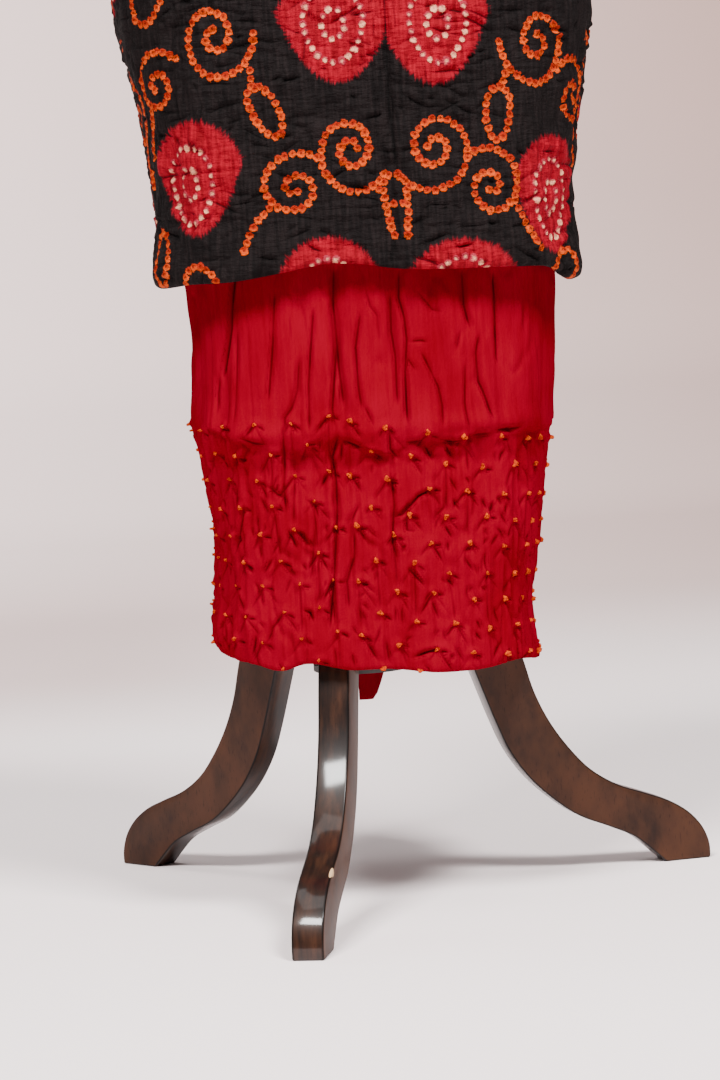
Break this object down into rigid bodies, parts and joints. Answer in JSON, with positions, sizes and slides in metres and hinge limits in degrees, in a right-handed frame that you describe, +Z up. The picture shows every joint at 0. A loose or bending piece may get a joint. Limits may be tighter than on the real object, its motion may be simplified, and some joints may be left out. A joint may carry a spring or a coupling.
{
  "type": "bandhani cloth on dress form stand",
  "caption": "Tie-dyed cloth wrapped in two lengths, black over red, round a hip form on a stand with curved wooden legs.",
  "frame": {"origin": "middle of the footprint, on the floor", "axes": "+Z up, -Y towards the front of the cloth, +X to the right as seen from the front"},
  "size_m": [0.4536, 0.4458, 0.884],
  "materials": {
    "black_bandhani": "matt woven cotton",
    "red_bandhani": "matt woven cotton",
    "stained_wood": "dark stain under gloss varnish",
    "form_cover": "matt cloth over foam",
    "steel": "satin"
  },
  "bodies": {
    "root": {"upper_cloth": "black_bandhani", "lower_cloth": "red_bandhani", "leg_front": "stained_wood", "leg_right": "stained_wood", "leg_left": "stained_wood", "column": "stained_wood", "waist_cap": "stained_wood", "hip_form": "form_cover", "base_plate": "steel", "collar": "steel", "pole": "steel"}
  },
  "joints": []
}
